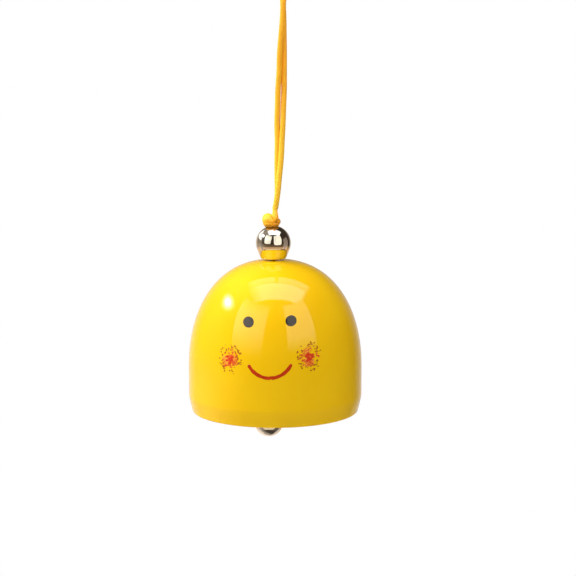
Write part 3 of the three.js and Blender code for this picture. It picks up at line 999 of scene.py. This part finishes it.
def card(name, azimuth, elevation, glow, tint="#FFFFFF", only=None, distance=stage_distance):
    """A card that only gloss can see. Azimuths and elevations are grids of directions, and glow is the
    strength at each. only names the pieces that see it: such a card is see-through, and adds its light."""
    spots = direction(azimuth, elevation) * distance + stage_centre
    made = surface(name, [spots], round_columns=False, values=[glow])
    material = bpy.data.materials.new(name)
    tree = empty_tree(material)
    path = add(tree, "ShaderNodeLightPath")
    again = add(tree, "ShaderNodeMath", {0: path.outputs["Ray Depth"], 1: 1.5}, operation="GREATER_THAN")
    share = add(tree, "ShaderNodeMapRange", {
        "Value": again.outputs["Value"], "To Min": 1.0, "To Max": second_mirror_share,
    })
    strength = add(tree, "ShaderNodeAttribute", attribute_name="height")
    strength = add(tree, "ShaderNodeMath", {
        0: strength.outputs["Fac"], 1: share.outputs["Result"],
    }, operation="MULTIPLY")
    light = add(tree, "ShaderNodeEmission", {"Color": colour(tint), "Strength": strength.outputs["Value"]})
    if only:
        clear = add(tree, "ShaderNodeBsdfTransparent")
        light = add(tree, "ShaderNodeAddShader", {0: light.outputs["Emission"], 1: clear.outputs["BSDF"]})
    add(tree, "ShaderNodeOutputMaterial", {"Surface": light.outputs[0]})
    made.data.materials.append(material)
    made.visible_camera = False
    made.visible_diffuse = False
    made.visible_transmission = False
    made.visible_shadow = False
    made.visible_volume_scatter = False
    if only:
        seen_by = bpy.data.collections.new(name + "_receivers")
        for piece in only:
            seen_by.objects.link(piece)
        made.light_linking.receiver_collection = seen_by


def block(azimuth0, azimuth1, elevation0, elevation1, rows=24, columns=24):
    """Grids of azimuth and elevation between two limits each, and the share of the way up and across."""
    up, across = np.meshgrid(np.linspace(0, 1, rows), np.linspace(0, 1, columns), indexing="ij")
    azimuth = azimuth0 + (azimuth1 - azimuth0) * across
    elevation = elevation0 + (elevation1 - elevation0) * up
    return azimuth, elevation, up, across


def rise(value, start, end):
    """0 before start, 1 after end, and a straight line between."""
    return np.clip((value - start) / (end - start), 0, 1)


# %% Windows and ceiling
# The windows lean apart towards the top, as the bell's curve draws them, and fade out at their sills.
window_tint = "#FFF9E6"
azimuth, elevation, up, across = block(0, 1, 2, 54)
left_edge = -58.5 - 14.5 * up
right_edge = -19.5 + 8 * up
glow = 1.95 * rise(elevation, 3, 24) * (1 - 0.4 * across) * (1 - 0.6 * rise(elevation, 42, 54))
card("window_left", left_edge + (right_edge - left_edge) * across, elevation, glow, window_tint)
left_edge = 17.0 + 0 * up
right_edge = 56 + 10 * up
glow = 1.4 * rise(elevation, 7, 20) * (1 - 0.15 * up)
card("window_right", left_edge + (right_edge - left_edge) * across, elevation, glow, window_tint)


def ceiling(name, x0, x1, y0, y1, strength, fade_left, fade_right):
    """A level panel above the bell, its edges given in shares of its height above the stage centre."""
    y, x = np.meshgrid(np.linspace(y0, y1, 24), np.linspace(x0, x1, 32), indexing="ij")
    azimuth = np.degrees(np.arctan2(x, -y))
    elevation = np.degrees(np.arctan2(1.0, np.hypot(x, y)))
    glow = strength * np.clip((x - x0) / fade_left, 0, 1) * np.clip((x1 - x) / fade_right, 0, 1)
    card(name, azimuth, elevation, glow)


# name, left, right, front and back edge, strength, and how far it fades in from the left and the right
ceiling("ceiling_front", -0.62, 0.74, -0.50, 0.04, 2.5, 0.34, 0.12)
ceiling("ceiling_back_left", -0.60, 0.012, 0.055, 0.28, 1.4, 0.2, 0.01)
ceiling("ceiling_back_right", 0.028, 0.76, 0.055, 0.28, 1.3, 0.01, 0.1)

# %% Tent and hot lamp
# The tent is nearly dark. It is paler on the left wall, behind the bell and under it.
azimuth, elevation, up, across = block(-180, 180, -90, 90, 90, 181)
left_wall = np.exp(-((azimuth + 105) / 38) ** 2) * rise(elevation, 78, 60)
left_wall_glow = 0.14 + 0.25 * rise(elevation, 15, 50) + 0.3 * rise(elevation, 0, -15)
behind = rise(np.abs(azimuth), 128, 158) * rise(elevation, 24, -8)
behind_glow = 0.7 * (0.35 + 0.65 * rise(elevation, -42, -22))
behind_left = rise(azimuth, -122, -150) * rise(elevation, 75, 55)
under = rise(elevation, -10, -26) * (0.25 + 0.75 * rise(elevation, -60, -52))
tent_glow = (
    0.03 + left_wall_glow * left_wall + behind_glow * behind + 0.14 * behind_left + 0.12 * under
)
card("tent", azimuth, elevation, tent_glow, "#F2E2D0", distance=1500)

# The hot lamp is a slanting oval spot, brightest in its middle, as a bell-shaped curve falls off.
right, up = np.meshgrid(np.linspace(-1.9, 1.9, 15), np.linspace(-1.9, 1.9, 15))
spot = np.exp(-1.25 * (right**2 + up**2))
card("hot_lamp", -98.2 + 7.2 * right - 8.5 * up, 35.3 + 3.7 * right + 2.1 * up, 20 * spot, distance=900)

# %% [markdown]
# The bead and the ball see more of the studio than the enamel does, because a small ball mirrors nearly all
# that stands round it: the windows down to their sills, a softbox and a dim wall on the left, a pale wall
# on the right, and the bright table below with its dimmer edge. The table's tint is the light that the
# yellow bell throws on it.

# %% Windows for the metal
metal_pieces = [bead, ball, clapper_ring, clapper_shank]


def metal_card(name, azimuth, elevation, glow, tint, distance=1100):
    """A card that adds its light for the plated pieces only."""
    card(name, azimuth, elevation, glow, tint, metal_pieces, distance)


def round_foot(up, across, share=0.2):
    """Draws the lower corners of a block in, so its lowest share ends as a half ellipse."""
    return 0.5 + (across - 0.5) * (0.5 + 0.5 * np.sqrt(1 - (1 - np.clip(up / share, 0, 1)) ** 2))


azimuth, elevation, up, across = block(0, 1, 1, 54, rows=71)
across = round_foot(up, across)
azimuth = -62 - 10 * up + (44 + 16 * up) * across
sill = np.clip(1.2 - 1.56 * rise(elevation, 3, 24), 0, None)
metal_card("window_left_in_metal", azimuth, elevation, sill, "#FFFBEA", 950)
azimuth, elevation, up, across = block(0, 1, -6, 54, rows=71)
azimuth = 4 + 52 * round_foot(up, across)
sill = 1.2 - 1.2 * rise(elevation, 7, 20) * rise(azimuth, 14, 17)
metal_card("window_right_in_metal", azimuth, elevation, sill, "#FFFBEA", 950)

# %% Walls and table for the metal
azimuth, elevation, up, across = block(-148, -92, 13, 38)
metal_card("left_softbox_in_metal", azimuth, elevation, 1.2 + 0 * up, "#FFFFFF")
azimuth, elevation, up, across = block(-160, -84, -10, 12)
metal_card("left_wall_in_metal", azimuth, elevation, 0.17 + 0 * up, "#F0D8B0")
azimuth, elevation, up, across = block(72, 112, -28, 24)
metal_card("right_wall_in_metal", azimuth, elevation, 0.46 - 0.2 * up, "#E5CDBE")
azimuth, elevation, up, across = block(-80, 80, -32, -2, rows=61)
edge_glow = 0.09 + 0.45 * rise(elevation, -18, -22)
metal_card("table_edge_in_metal", azimuth, elevation, edge_glow, "#FFC37B")
azimuth, elevation, up, across = block(0, 1, -53, -32)
azimuth = -58 + 116 * round_foot(up, across, 0.9)
metal_card("bright_table_in_metal", azimuth, elevation, 0.8 + 0 * up, "#FFE7B8")
azimuth, elevation, up, across = block(95, 265, -38, -12)
metal_card("yellow_table_in_metal", azimuth, elevation, 0.5 * np.sin(np.pi * up), "#F5B020")
azimuth, elevation, up, across = block(110, 250, -64, -30)
metal_card("far_table_in_metal", azimuth, elevation, 0.6 * rise(elevation, -30, -40), "#F4E6D4")
azimuth, elevation, up, across = block(-180, 180, -90, 90, 40, 61)
metal_card("room_in_metal", azimuth, elevation, 0.03 + 0 * up, "#C8945A", 1400)

# %% [markdown]
# The floor is a pale disc well below the bell, which keeps the bell's soft shadow and turns to pure white
# towards its edge. From below it is clear, so that the bell can be looked into. The world is a plain white
# backdrop for what the camera sees and for what shines in the metal, and a weaker, even light for
# everything else. Blender's light path tells the two apart.

# %% Floor and backdrop


def backdrop_share(tree):
    """1 for rays from the camera, from gloss and through glass, and 0 for those that only carry light."""
    path = add(tree, "ShaderNodeLightPath")
    seen = add(tree, "ShaderNodeMath", {
        0: path.outputs["Is Camera Ray"], 1: path.outputs["Is Glossy Ray"],
    }, operation="ADD")
    seen = add(tree, "ShaderNodeMath", {
        0: seen.outputs["Value"], 1: path.outputs["Is Transmission Ray"],
    }, operation="ADD", use_clamp=True)
    return seen.outputs["Value"]


floor_z = -450.0
floor_radius = 450.0
floor_rows = np.linspace(0, floor_radius, 12)
floor_profile = np.stack([floor_rows[::-1], np.full(12, floor_z)], 1)
floor = surface("floor", [lathe(floor_profile, 96, (axis_x, 0, 0))])
floor.visible_glossy = False   # the gloss shows the tent, and below it the cards
floor_paint = bpy.data.materials.new("pale_floor")
tree = empty_tree(floor_paint)
place = add(tree, "ShaderNodeTexCoord")
far = add(tree, "ShaderNodeVectorMath", {0: place.outputs["Object"]}, operation="LENGTH")
edge = add(tree, "ShaderNodeMapRange", {    # by the distance from the hook, which is in metres
    "Value": far.outputs["Value"], "From Min": 0.5, "From Max": 0.63, "To Min": 0.25, "To Max": 1.0,
})
strength = add(tree, "ShaderNodeMath", {
    0: backdrop_share(tree), 1: edge.outputs["Result"],
}, operation="MULTIPLY")
matte = add(tree, "ShaderNodeBsdfDiffuse", {"Color": colour("#EEEEEC")})
white = add(tree, "ShaderNodeEmission", {"Strength": strength.outputs["Value"]})
both = add(tree, "ShaderNodeAddShader", {0: matte.outputs["BSDF"], 1: white.outputs["Emission"]})
clear = add(tree, "ShaderNodeBsdfTransparent")
side = add(tree, "ShaderNodeNewGeometry")
from_above = add(tree, "ShaderNodeMixShader", {
    0: side.outputs["Backfacing"], 1: both.outputs["Shader"], 2: clear.outputs["BSDF"],
})
add(tree, "ShaderNodeOutputMaterial", {"Surface": from_above.outputs["Shader"]})
floor.data.materials.append(floor_paint)

# %% World
ambient = 0.17                 # strength of the even light
world = bpy.data.worlds.new("white_backdrop")
bpy.context.scene.world = world
tree = empty_tree(world)
strength = add(tree, "ShaderNodeMapRange", {
    "Value": backdrop_share(tree), "To Min": ambient, "To Max": 1.0,
})
sky = add(tree, "ShaderNodeBackground", {
    "Color": colour("#FFFFFF"), "Strength": strength.outputs["Result"],
})
add(tree, "ShaderNodeOutputWorld", {"Surface": sky.outputs["Background"]})
bpy.context.scene.view_settings.view_transform = "Standard"
print(f"even light {ambient}, backdrop 1")
